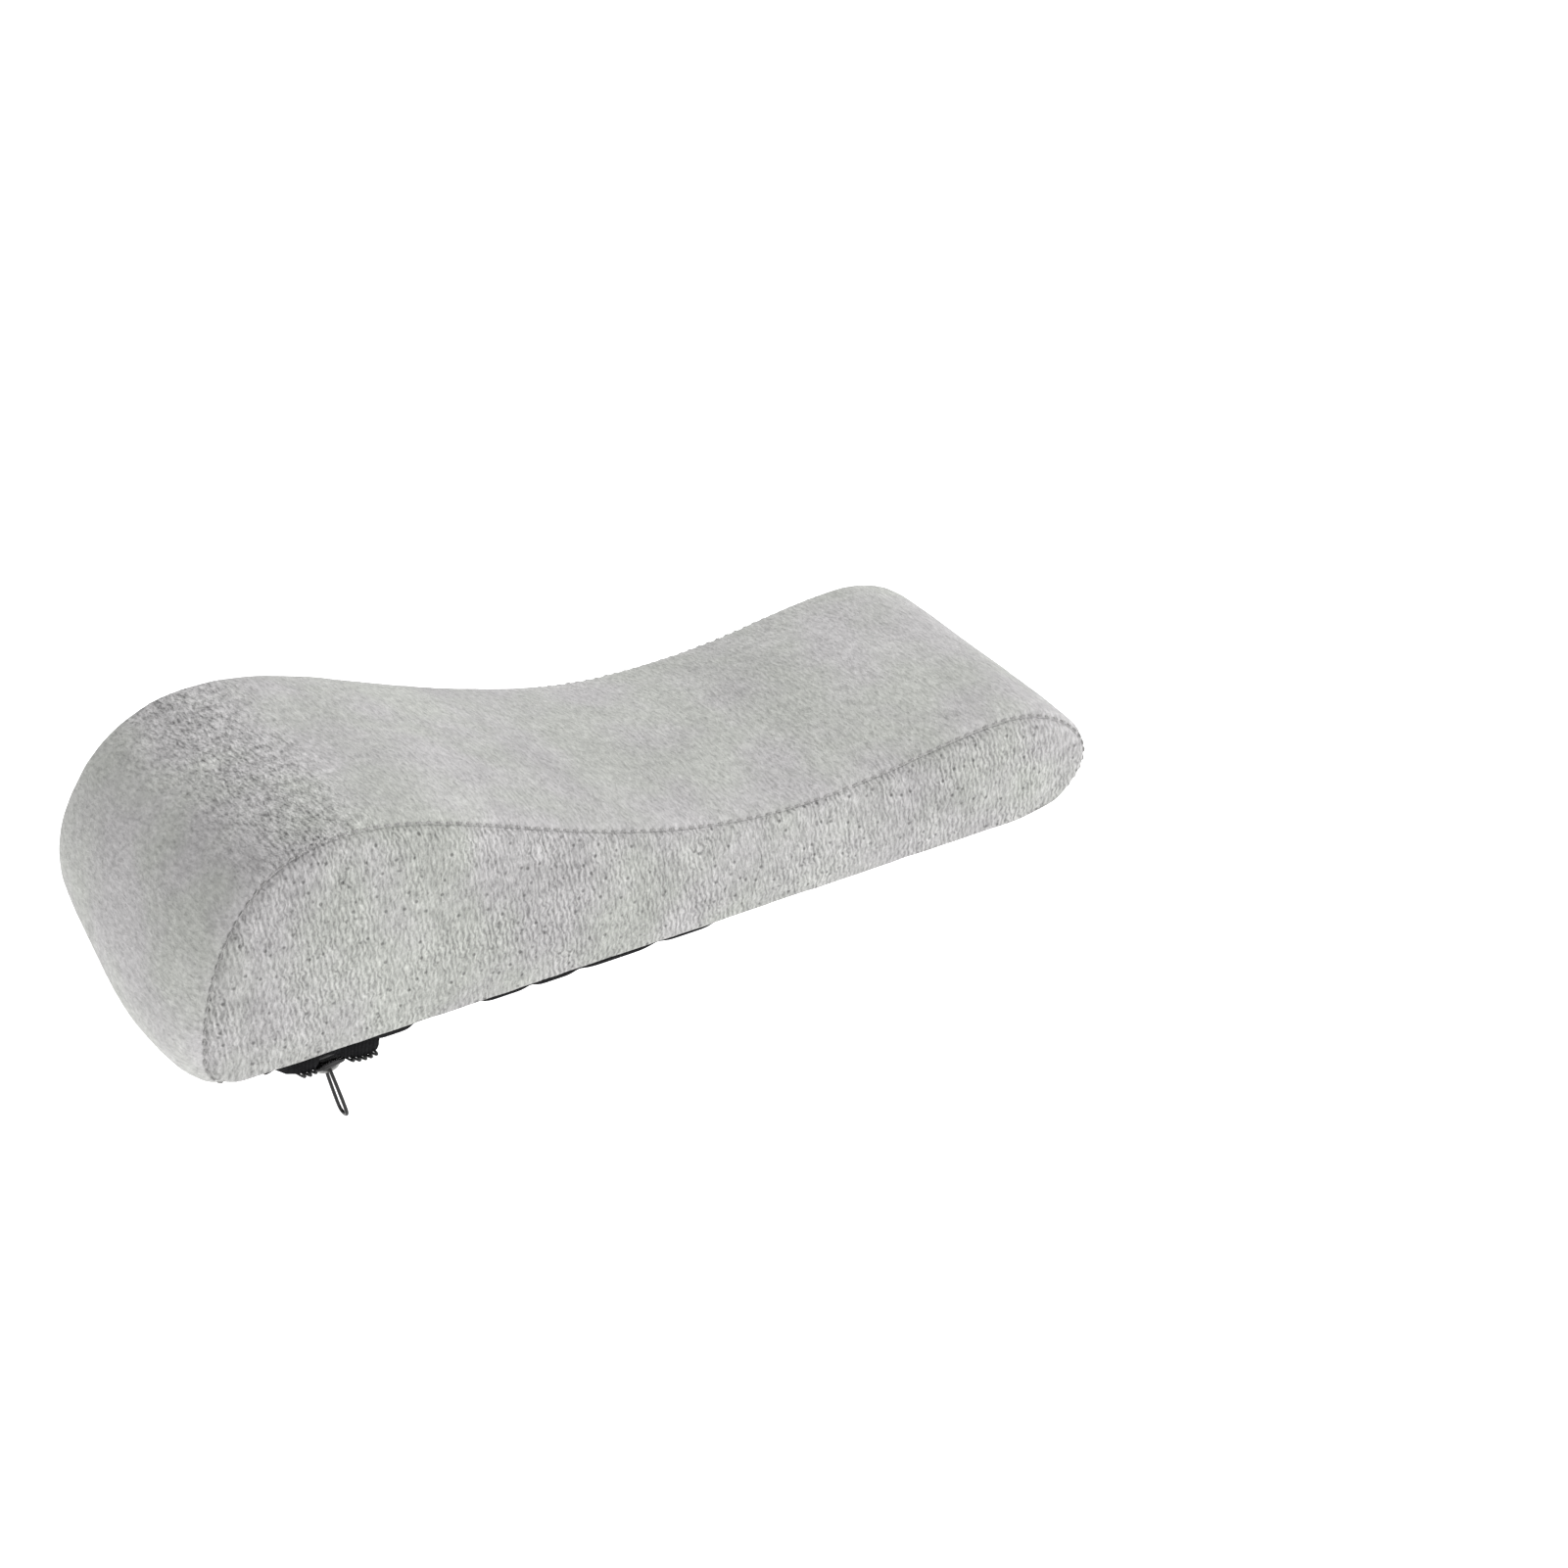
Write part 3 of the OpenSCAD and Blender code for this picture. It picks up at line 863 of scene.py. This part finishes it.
def make_cover():
    """Returns the surface of the finished cover, for the threads to lie on."""
    half_w = SEAM_Y + SEAM_IN
    columns_y = [*np.linspace(-half_w + EDGE_R, ZIP_EDGE_Y, 4)[1:],
                 *np.linspace(ZIP_EDGE_Y, half_w - EDGE_R, 25)[1:-1]]
    mesh = pad_cage(half_w, SEAM_IN * over_share(OUTLINE), EDGE_R, columns_y, NOSE_CROWN)
    seams = seam_points()
    co = points_of(mesh)
    on_base = co[:, 2] < BASE_Z + 0.5 * MM
    on_side = np.abs(co[:, 1]) > half_w - 0.5 * MM
    limits = np.where(on_side, 1.3, 3.6) * MM
    held = on_base | (distance_to(co, seams) < 0.4 * MM)
    set_points(mesh, inflated(mesh, held, limits))
    mesh = subdivided(mesh)
    sew(mesh, seams)
    # The side panels take the darker velour, whose colour is painted shade.
    for index, (name, look) in enumerate((("top", "velour_top"), ("zip_side", "velour_side"),
                                          ("plain_side", "velour_side"), ("base", "base_knit"))):
        fabric = shell(panel(mesh, index, over_zipper if name == "base" else None), 1.1 * MM)
        link("cover_" + name, fabric, "pad", look, name + "_panel")
    return bvhtree.BVHTree.FromPolygons([Vector(p) for p in points_of(mesh)], faces_of(mesh))


COVER = make_cover()


# ---- Foam and liner ----
def make_foam():
    half_w = high("foam_core")[1] - 0.5 * MM
    edge = half_w - 4 * MM
    mesh = subdivided(pad_cage(half_w, -3 * MM, 4 * MM, np.linspace(-edge, edge, 14)[1:-1]))
    co = points_of(mesh)
    shift = uneven(co, 25, 0.3, 8) - 0.3 * MM
    set_points(mesh, co + points_of(mesh, "normal") * shift[:, None])
    link("foam_core_shaped", mesh, "pad", "memory_foam", "foam_core")


def make_liner():
    """The liner with its slit underneath."""
    half_w = high("inner_liner")[1] - 0.3 * MM
    edge, slit = half_w - 4 * MM, 0.5 * MM
    columns = [*np.linspace(-edge, -slit, 8)[1:], *np.linspace(slit, edge, 8)[:-1]]

    def in_slit(centre):
        return abs(centre.y) < slit and centre.z < BASE_Z + 5 * MM and abs(centre.x) < 75 * MM

    mesh = panel(pad_cage(half_w, -2.4 * MM, 4 * MM, columns), None, in_slit)
    link("inner_liner_knit", shell(mesh, 0.4 * MM), "pad", "liner_knit", "inner_liner")


make_foam()
make_liner()


# ---- Threads ----
def stitch(parts, centre, along, out, length, radius):
    """A stitch that comes out of the fabric, lies along it and goes back in."""
    t = np.linspace(-1, 1, 7)
    rise = radius * (1.0 - 2.6 * np.abs(t) ** 3)
    path = centre + (t * length / 2)[:, None] * along + rise[:, None] * out
    parts.put(*tube(path, radius * np.array([0.7, 0.95, 1, 1, 1, 0.95, 0.7]), 6))


def to_seam(centre):
    return (centre[0], math.copysign(under_y(centre[None, ::2])[0], centre[1]), centre[2])


def to_base(centre):
    inside = UNDER_SEAM_Y - 0.9 * MM
    return (centre[0], min(max(centre[1], -inside), inside), BASE_Z)


def sewn(seam, look, start):
    """Stitches where a CAD node has them, laid on the cover. start(centre) is where on the cover
    to look for each one, before its corners are drawn in."""
    parts = Parts()
    for solid in islands(seam + "_thread"):
        centre = solid.mean(0)
        along = np.linalg.svd(solid - centre)[2][0]
        where, out, _, _ = COVER.find_nearest(Vector(pillow_corners([start(centre)])[0]))
        out = np.array(out)
        along = unit(along - out * (along @ out))
        stitch(parts, np.array(where), along, out, 2 * MM, 0.24 * MM)
    link(seam + "_stitches", parts.mesh(), "pad", look, seam + "_thread")


sewn("zip_seam", "grey_thread", to_seam)
sewn("plain_seam", "grey_thread", to_seam)
sewn("base_seam", "black_thread", to_base)


# ---- Grip dots ----
def make_dots():
    """Printed rubber dots: low domes with slightly uneven rims."""
    parts = Parts()
    sides = 20
    angles = np.arange(sides) * 2 * math.pi / sides
    profile = ((1.0, 0.0), (0.99, 0.45), (0.90, 0.72), (0.70, 0.90), (0.38, 0.98))
    for solid in islands("grip_dots"):
        centre = solid.mean(0)
        radius = np.ptp(solid[:, 0]) / 2
        wobble = 1 + 0.03 * np.sin(2 * angles + rng.uniform(0, 6))
        wobble = wobble + 0.02 * np.sin(3 * angles + rng.uniform(0, 6))
        surface = COVER.find_nearest(Vector((centre[0], centre[1], BASE_Z)))[0][2]
        bottom = surface - np.ptp(solid[:, 2])
        depth = np.ptp(solid[:, 2]) + 0.25 * MM
        vertices = []
        for share, drop in profile:
            r = radius * share * (wobble if share > 0.5 else 1)
            vertices += list(stacked(centre[0] + r * np.cos(angles), centre[1] + r * np.sin(angles),
                                     bottom + depth * (1 - drop)))
        rings = numbered(len(profile), sides)
        faces = quads(rings)
        faces += [(a, b, len(vertices)) for a, b in zip(rings[-1], np.roll(rings[-1], -1))]
        faces.append(tuple(rings[0][::-1]))
        parts.put([*vertices, (centre[0], centre[1], bottom)], faces)
    link("grip_dots_domed", parts.mesh(), "pad", "grip_rubber", "grip_dots")


make_dots()


# ---- Zipper ----
# Where the outer tape sags: from x and to x, and how deep, in mm
SAGS = ((-114, -108, 0.8), (-81, -71, 1.7), (-52, -39, 1.4), (-38, -26, 1.65), (-25, -4, 1.55),
        (-2, 13, 1.3))


def tape_sag(x):
    """How far the outer tape hangs below its edge along the zipper."""
    return MM * sum(depth * np.exp(-((x / MM - (a + b) / 2) / (0.5 * (b - a))) ** 6)
                    for a, b, depth in SAGS)


def make_tapes():
    """Both tapes of the straight zipper. The outer one is sewn under the side panel's edge and
    sags in places."""
    x = np.linspace(*ZIP_X, 260)
    top = high("zipper_tape_outer")[2]
    outer = []
    for share in np.linspace(0, 1, 13):
        y = (1 - share) * (-UNDER_SEAM_Y - 0.3 * MM) + share * (CHAIN_Y - 0.2 * MM)
        edge = math.exp(-(share / 0.06) ** 2)
        bulge = math.exp(-((share - 0.14) / 0.12) ** 2)
        z = top - 0.45 * MM + 0.35 * MM * edge
        outer.append(stacked(x, y, z - tape_sag(x) * bulge))
    inner = []
    for y in np.linspace(CHAIN_Y + 0.2 * MM, high("zipper_tape_inner")[1], 9):
        inner.append(stacked(x, y, top - 0.4 * MM + uneven(stacked(x, y, 0), 22, 0.12, 11)))
    for side, rows in (("outer", outer), ("inner", inner)):
        node = "zipper_tape_" + side
        link(node + "_sewn", sheet(rows, 0.6 * MM), "pad", "zipper_tape", node)


def coil(chain, side, first, count, wire=0.25 * MM, extra=0.0):
    """A coil half along a chain. chain(x) gives its middle and the directions across it and up at
    each place along it, side is -1 or +1, and extra widens the loops outwards."""
    per_turn = 14
    turns = np.arange(count * per_turn + 1) / per_turn
    angle = turns * 2 * math.pi
    x = first + (turns + 0.14 * np.sin(angle) + (0.5 if side > 0 else 0.0)) * COIL_PITCH
    reach = side * (1.35 * MM + extra / 2 - (1.5 * MM + extra / 2) * np.cos(angle))
    rise = -0.40 * MM * np.sin(angle)
    centre, across, up = chain(x)
    return tube(centre + reach[:, None] * across + rise[:, None] * up, wire, 6)


def straight_chain(x):
    return stacked(x, CHAIN_Y, COIL_Z), (0, 1, 0), (0, 0, 1)


def make_coils():
    count = round((CHAIN_X[1] - CHAIN_X[0]) / COIL_PITCH) - 1
    for side, node in ((-1, "zipper_coil_outer"), (1, "zipper_coil_inner")):
        parts = Parts()
        parts.put(*coil(straight_chain, side, CHAIN_X[0] + 0.2 * MM, count))
        link(node + "_loops", parts.mesh(), "pad", "coil_nylon", node)


def make_end_tacks():
    """Threads wound across both ends of the chain."""
    parts = Parts()
    thread = 0.17 * MM
    t = np.linspace(-1, 1, 13)
    for solid in islands("zipper_end_tacks"):
        lo, hi = solid.min(0), solid.max(0)
        for x in np.linspace(lo[0] + 0.15 * MM, hi[0] - 0.15 * MM, 6):
            y = (lo[1] + hi[1]) / 2 + t * (hi[1] - lo[1]) / 2
            z = hi[2] - (hi[2] - lo[2] - thread) * (1 - t ** 6)
            lean = 0.1 * MM * np.sin(3 * t + x * 4000)
            parts.put(*tube(stacked(x + lean, y, z), thread, 8))
    link("zipper_end_tack_threads", parts.mesh(), "pad", "black_thread", "zipper_end_tacks")


make_tapes()
make_coils()
make_end_tacks()

# The slack wave under the slider: its depth, as a share of the slider's own, at places along it, in
# mm from the slider's middle
WAVE_AT = (-14, -13, -11.7, -9, -6.5, -4.6, -2.6, 2.0, 3.6, 7, 10, 11.6, 12.6, 13.1, 13.4)
WAVE_DEPTH = (0.36, 0.7, 1.15, 1.42, 1.5, 1.42, 1, 1, 1.4, 1.66, 1.64, 1.52, 1.25, 0.85, 0.3)


def slack_chain(x):
    """The sagging chain, which tilts with the slider."""
    y, z = CHAIN_Y, COIL_Z - 1.35 * MM
    depth = np.interp((x - SLIDER[0]) / MM, WAVE_AT, WAVE_DEPTH)
    tilt = TILT * np.clip(depth, 0, 1)
    return (stacked(x, y + (SLIDER[1] - y) * depth, z + (SLIDER[2] - z) * depth),
            stacked(0, np.cos(tilt), -np.sin(tilt)), stacked(0, np.sin(tilt), np.cos(tilt)))


def wave_wall(side, top_y, top_z):
    """One tape of the wave: down from its sewn edge, round a soft fold and in to the chain."""
    x = SLIDER[0] + np.linspace(WAVE_AT[0], WAVE_AT[-1], 88) * MM
    centre, across, up = slack_chain(x)
    top = stacked(x, top_y, top_z)
    fold, under, inner = (centre + side * out * MM * across + rise * MM * up
                          for out, rise in ((2.3, 0.62), (1.6, 0.82), (0.3, 0.84)))
    rows = []
    for t in np.linspace(0, 1, 5)[:-1]:
        rows.append(top * (1 - t) + fold * t + side * 0.25 * MM * math.sin(math.pi * t) * across)
    rows += [fold, (fold + under) / 2 + side * 0.1 * MM * across, under, (under + inner) / 2, inner]
    wobble = uneven(stacked(x, 0, side), 5, 0.15, 21)
    return sheet([r + wobble[:, None] * across for r in rows], 0.38 * MM, 0.08 * MM)


def make_wave():
    walls, loops = Parts(), Parts()
    walls.put_mesh(wave_wall(-1, -UNDER_SEAM_Y + 0.5 * MM, BASE_Z + 0.25 * MM))
    walls.put_mesh(wave_wall(1, high("zipper_tape_inner")[1] - 0.2 * MM, BASE_Z - 0.35 * MM))
    link("zipper_slack_tape_wave", walls.mesh(), "slider", "zipper_tape", "zipper_slack_tape")
    for side in (-1, 1):
        for first, count in ((-8.8 * MM, 3), (4 * MM, 5)):
            loops.put(*coil(slack_chain, side, SLIDER[0] + first, count, 0.35 * MM, 1 * MM))
    link("zipper_slack_coil_loops", loops.mesh(), "slider", "coil_nylon", "zipper_slack_coil")


make_wave()


# ---- Slider and pull ----
def make_slider():
    """Two shield-shaped plates on a post, with rolled edges below the lower plate, and an arched
    bridge for the pull, in light grey nickel as a painted highlight on the black slider."""
    half = [(4.25, -0.9), (4.1, -2.2), (2.6, -2.75), (0.4, -3.2), (-2.2, -3.7), (-4.0, -3.3),
            (-4.2, -1.3)]
    shield = [(x, -y) for x, y in half[::-1]] + half + [(-3.5, 0)]
    shield = softened(shield, 2, closed=True) * MM
    parts = Parts()
    for z in (1.0, -1.85):
        parts.put_mesh(prism(shield, z * MM, (z + 0.85) * MM, 0.28 * MM))
    rolled = softened([(-3.2, 3.25, -1.15), (-1, 3.1, -0.9), (1.4, 2.7, -0.85), (3.6, 2.2, -1.1)], 2)
    for side in (-1, 1):
        parts.put(*tube(rolled * MM * (1, side, 1), 0.32 * MM, 8))
    post = softened([(-3.4, 0), (-2.4, 0.95), (-1.2, 0), (-2.4, -0.95)], 2, closed=True) * MM
    parts.put_mesh(prism(post, -1.2 * MM, 1.2 * MM, 0.05 * MM))
    body = parts.mesh()
    arch = softened([(-3.4, -1.7), (-3.0, -2.7), (-1.9, -3.65), (0, -3.85), (1.9, -3.65), (3.0, -2.7),
                     (3.4, -1.7)], 3)
    rows = [stacked(arch[:, 0], y, arch[:, 1] + 0.12 * (y / 0.75) ** 2)
            for y in np.linspace(-0.75, 0.75, 7)]
    bridge = sheet(np.array(rows) * MM, 0.6 * MM, 0.16 * MM)
    for mesh in (body, bridge):         # from the slider's own frame to the pad's
        set_points(mesh, SLIDER + points_of(mesh) @ np.array([ALONG_ZIP, ACROSS, UP_SLIDER]))
    link("slider_body_cast", body, "slider", "black_enamel", "slider_body")
    # The bridge's light grey nickel is a painted highlight.
    link("slider_bridge_painted_highlight", bridge, "slider", "nickel_painted_highlight")


def make_pull():
    """A hairpin of enamelled wire that hangs from a straight bar, swung a little to the low end."""
    swing = math.radians(12)
    length = (PIVOT[2] - low("pull_loop")[2]) / math.cos(swing) / math.cos(TILT) - 0.5 * MM
    end = -length / MM
    half = [(0, 0), (0.75, 0), (1.15, -0.12), (1.35, -0.7), (1.6, -2.4), (1.9, 0.5 * end),
            (2.0, end + 2.6), (1.8, end + 1.0), (1.05, end + 0.1), (0, end)]
    loop = half + [(-y, z) for y, z in half[-2:0:-1]]
    loop = softened(loop, 3, closed=True) * MM
    hanging = math.cos(swing) * UP_SLIDER - math.sin(swing) * ALONG_ZIP
    path = PIVOT + loop[:, :1] * ACROSS + loop[:, 1:] * hanging
    wire = outward(mesh_of(*tube(path, 0.46 * MM, 14, closed=True)))
    link("pull_loop_wire", wire, "pull", "black_enamel", "pull_loop")


make_slider()
make_pull()


# ---- Straps ----
def strip(path, lo, hi, thickness, edge=0.3 * MM):
    """Webbing along a run of (y, z) points, as wide along x as a box."""
    centre, width = (lo[0] + hi[0]) / 2, hi[0] - lo[0]
    rows = [stacked(centre + s * width / 2, *path.T) for s in np.linspace(-1, 1, 9)]
    return sheet(rows, thickness, edge)


def even_path(points, step=1 * MM):
    points = softened(points, 2)
    length = np.linalg.norm(np.diff(points, axis=0), axis=1).sum()
    return resampled(points, round(length / step))


def make_hems(end):
    """Webbing folded under and sewn to the base."""
    node = end + "_strap_hems"
    parts = Parts()
    for solid in islands(node):
        lo, hi = solid.min(0), solid.max(0)
        near, far = (lo[1], hi[1]) if hi[1] > 0 else (hi[1], lo[1])
        turn = math.copysign(0.45 * MM, near - far)
        upper, lower = BASE_Z - 0.35 * MM, lo[2] + 0.45 * MM
        fold, start = far + turn * 0.4, far + 2 * turn
        path = even_path([(near, upper), (start, upper), (fold, upper - 0.2 * MM),
                          (fold, lower + 0.2 * MM), (start, lower), (near, lower)], 0.4 * MM)
        parts.put_mesh(strip(path, lo, hi, 0.8 * MM, 0.2 * MM))
    link(node + "_folded", parts.mesh(), "pad", "webbing", node)


def hooked(parts, lo, hi, base):
    """Rows of small nylon hooks that stand on a strip, from base up to the strip's upper face."""
    rise = hi[2] - base
    profile = np.array([[0, 0], [0.02, 0.45], [0.10, 0.82], [0.28, 0.97], [0.42, 0.72]])
    radius = np.array([0.11, 0.10, 0.09, 0.08, 0.06]) * MM
    for i, x in enumerate(np.arange(lo[0] + 0.9 * MM, hi[0] - 0.6 * MM, 1.15 * MM)):
        facing = 1 if i % 2 else -1
        for y in np.arange(lo[1] + 0.8 * MM, hi[1] - 0.6 * MM, 1 * MM):
            parts.put(*tube(stacked(x + facing * profile[:, 0] * rise * 1.2, y,
                                    base + profile[:, 1] * rise), radius, 5))


def looped(parts, lo, hi, base):
    """A soft tangle of small loops that hangs from a strip, from base down to its lower face."""
    drop = base - lo[2]
    a = np.linspace(0, math.pi, 6)
    for x in np.arange(lo[0] + 0.7 * MM, hi[0] - 0.5 * MM, 1 * MM):
        for y in np.arange(lo[1] + 0.7 * MM, hi[1] - 0.5 * MM, 1 * MM):
            at = np.array([x, y]) + rng.uniform(-0.3, 0.3, 2) * MM
            turn = rng.uniform(0, math.pi)
            out = np.cos(a) * (rng.uniform(0.35, 0.6) * MM)
            path = stacked(at[0] + out * math.cos(turn), at[1] + out * math.sin(turn),
                           base - np.sin(a) * drop * rng.uniform(0.7, 0.95))
            parts.put(*tube(path, 0.07 * MM, 4))


def make_patch(end, kind, half):
    """A patch with its backing on the strap, and hooks or loops on the other face."""
    node = f"{end}_{kind}_patch"
    lo, hi = low(node), high(node)
    face, up, pile = (lo[2], 1, hooked) if kind == "hook" else (hi[2], -1, looped)
    path = stacked(np.linspace(lo[1] + 0.1 * MM, hi[1] - 0.1 * MM, 12), face + up * 0.16 * MM)
    parts = Parts()
    parts.put_mesh(strip(path, lo, hi, 0.3 * MM, 0.08 * MM))
    pile(parts, lo, hi, face + up * 0.32 * MM)
    link(node + "_pile", parts.mesh(), f"{end}_{half}_half", kind + "_tape", node)


def make_strap(end, half):
    """One half of a strap, from inside its hem to its tip."""
    node = f"{end}_{half}_strap"
    lo, hi = low(node), high(node)
    y, z = joint(f"{end}_{half}_fold")["pos_m"][1:]
    ahead = -1 if half == "long" else 1
    points = [(y - ahead * 1.2 * MM, z), (y, z)]
    if half == "long":
        flat = lo[2] + 0.6 * MM
        points += [(y - 2 * MM, z), (high(end + "_hook_patch")[1] + 6 * MM, flat),
                   (lo[1] + 0.3 * MM, flat)]
    else:
        points += [(hi[1] - 0.3 * MM, z)]
    mesh = outward(strip(even_path(points), lo, hi, 1.15 * MM))
    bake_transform(link(node + "_webbing", mesh, None, "webbing", node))


def make_tacks():
    parts = Parts()
    along, down = np.array([1.0, 0, 0]), np.array([0, 0, -1.0])
    for solid in islands("strap_tack_threads"):
        stitch(parts, solid.mean(0) - 0.2 * MM * down, along, down, 2.1 * MM, 0.22 * MM)
    link("strap_tack_stitches", parts.mesh(), "pad", "tack_thread", "strap_tack_threads")


for strap_end in ("tall_end", "low_end"):
    make_hems(strap_end)
    for strap_half, patch_kind in (("long", "hook"), ("short", "loop")):
        make_strap(strap_end, strap_half)
        make_patch(strap_end, patch_kind, strap_half)
make_tacks()


# ---- Stage, lights and camera ----
def to_camera(otherwise, seen):
    """A strength that differs between what the camera sees and the light on other things."""
    return spread(add("LightPath").outputs["Is Camera Ray"], otherwise, seen, 0, 1)


def glowing():
    tone = spread(grain(3), 0.99, 1.01)
    return {"Base_Color": shaded((0.93, 0.93, 0.93), tone), "Roughness": 0.9,
            "Specular_IOR_Level": 0.1, "Emission_Strength": to_camera(0.56, 0.9)}


def floor():
    """A floor low enough for the straps to hang open above it."""
    size, z = 6.0, BASE_Z - 85 * MM
    material("floor", glowing)
    corners = [(-size, -size, z), (size, -size, z), (size, size, z), (-size, size, z)]
    link("floor", mesh_of(corners, [(0, 1, 2, 3)]), None, "floor")


def area_light(name, towards, distance, size, power):
    """A soft square light, at a distance from the pad's middle in a direction."""
    light = bpy.data.lights.new(name, "AREA")
    assign(light, size=size, energy=power)
    direction = Vector(towards).normalized()
    assign(shown(name, light), location=direction * distance,
           rotation_euler=direction.to_track_quat("Z", "Y").to_euler())


def world(strength):
    """Even light from all round. The camera sees it as white."""
    global tree
    w = scene.world = bpy.data.worlds.new("studio")
    w.use_nodes = True
    tree = w.node_tree
    background = tree.nodes["Background"]
    feed(background.inputs["Color"], (1, 1, 1, 1))
    feed(background.inputs["Strength"], to_camera(strength, 1.0))


def camera(aim, azimuth, elevation, roll, distance, lens):
    """A camera at a distance from what it aims at. Azimuth 0 looks along +Y."""
    a, e = math.radians(azimuth), math.radians(elevation)
    forward = Vector((math.sin(a) * math.cos(e), math.cos(a) * math.cos(e), -math.sin(e)))
    data = bpy.data.cameras.new("camera")
    assign(data, lens=lens, clip_start=0.05)
    turn = forward.to_track_quat("-Z", "Y").to_matrix() @ Matrix.Rotation(math.radians(roll), 3, "Z")
    ob = shown("camera", data)
    ob.matrix_world = Matrix.Translation(Vector(aim) - forward * distance) @ turn.to_4x4()
    scene.camera = ob


floor()
world(0.75)
area_light("key", (0.75, -0.35, 0.75), 1.3, 1.0, 9)
area_light("front", (-0.35, -0.9, 0.35), 1.6, 1.2, 1)
camera(aim=(64.9 * MM, 9.7 * MM, -1.8 * MM), azimuth=33.4, elevation=31.5, roll=1.1,
       distance=1.19, lens=106)
scene.view_settings.view_transform = "Standard"
